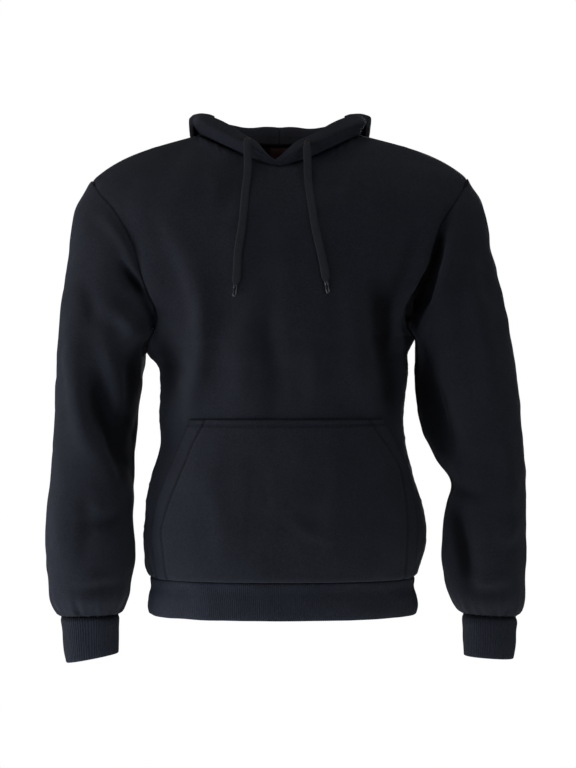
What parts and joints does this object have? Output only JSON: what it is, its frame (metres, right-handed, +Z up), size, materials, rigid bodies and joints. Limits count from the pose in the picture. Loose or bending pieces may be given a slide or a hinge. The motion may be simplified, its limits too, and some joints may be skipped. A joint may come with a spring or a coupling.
{
  "type": "pullover hoodie",
  "caption": "Filled-out pullover hoodie with its hood down, ribbed cuffs and waistband, a front pouch pocket, and a flat drawcord with metal tips.",
  "frame": {"origin": "middle of the neck opening, near the height where the shoulder seams meet the hood", "axes": "+Z up as worn, the front faces -Y, the wearer's left is +X"},
  "size_m": [0.6422, 0.2989, 0.7372],
  "materials": {
    "fleece": "brushed-back fleece, dark navy, matte knit face",
    "rib": "fine rib knit, dark navy",
    "cord": "flat woven cord, dark navy",
    "tip_metal": "bright pressed metal",
    "eyelet_metal": "dark gunmetal ring",
    "label": "dark red woven satin, blank"
  },
  "bodies": {
    "root": {"front": "fleece", "back": "fleece", "sleeve_right": "fleece", "sleeve_left": "fleece", "cuff_right": "rib", "cuff_left": "rib", "waistband": "rib", "hood_right": "fleece", "hood_left": "fleece", "pocket": "fleece", "cord_right": "cord", "cord_left": "cord", "tip_right": "tip_metal", "tip_left": "tip_metal", "eyelet_right": "eyelet_metal", "eyelet_left": "eyelet_metal", "neck_label": "label"}
  },
  "joints": []
}
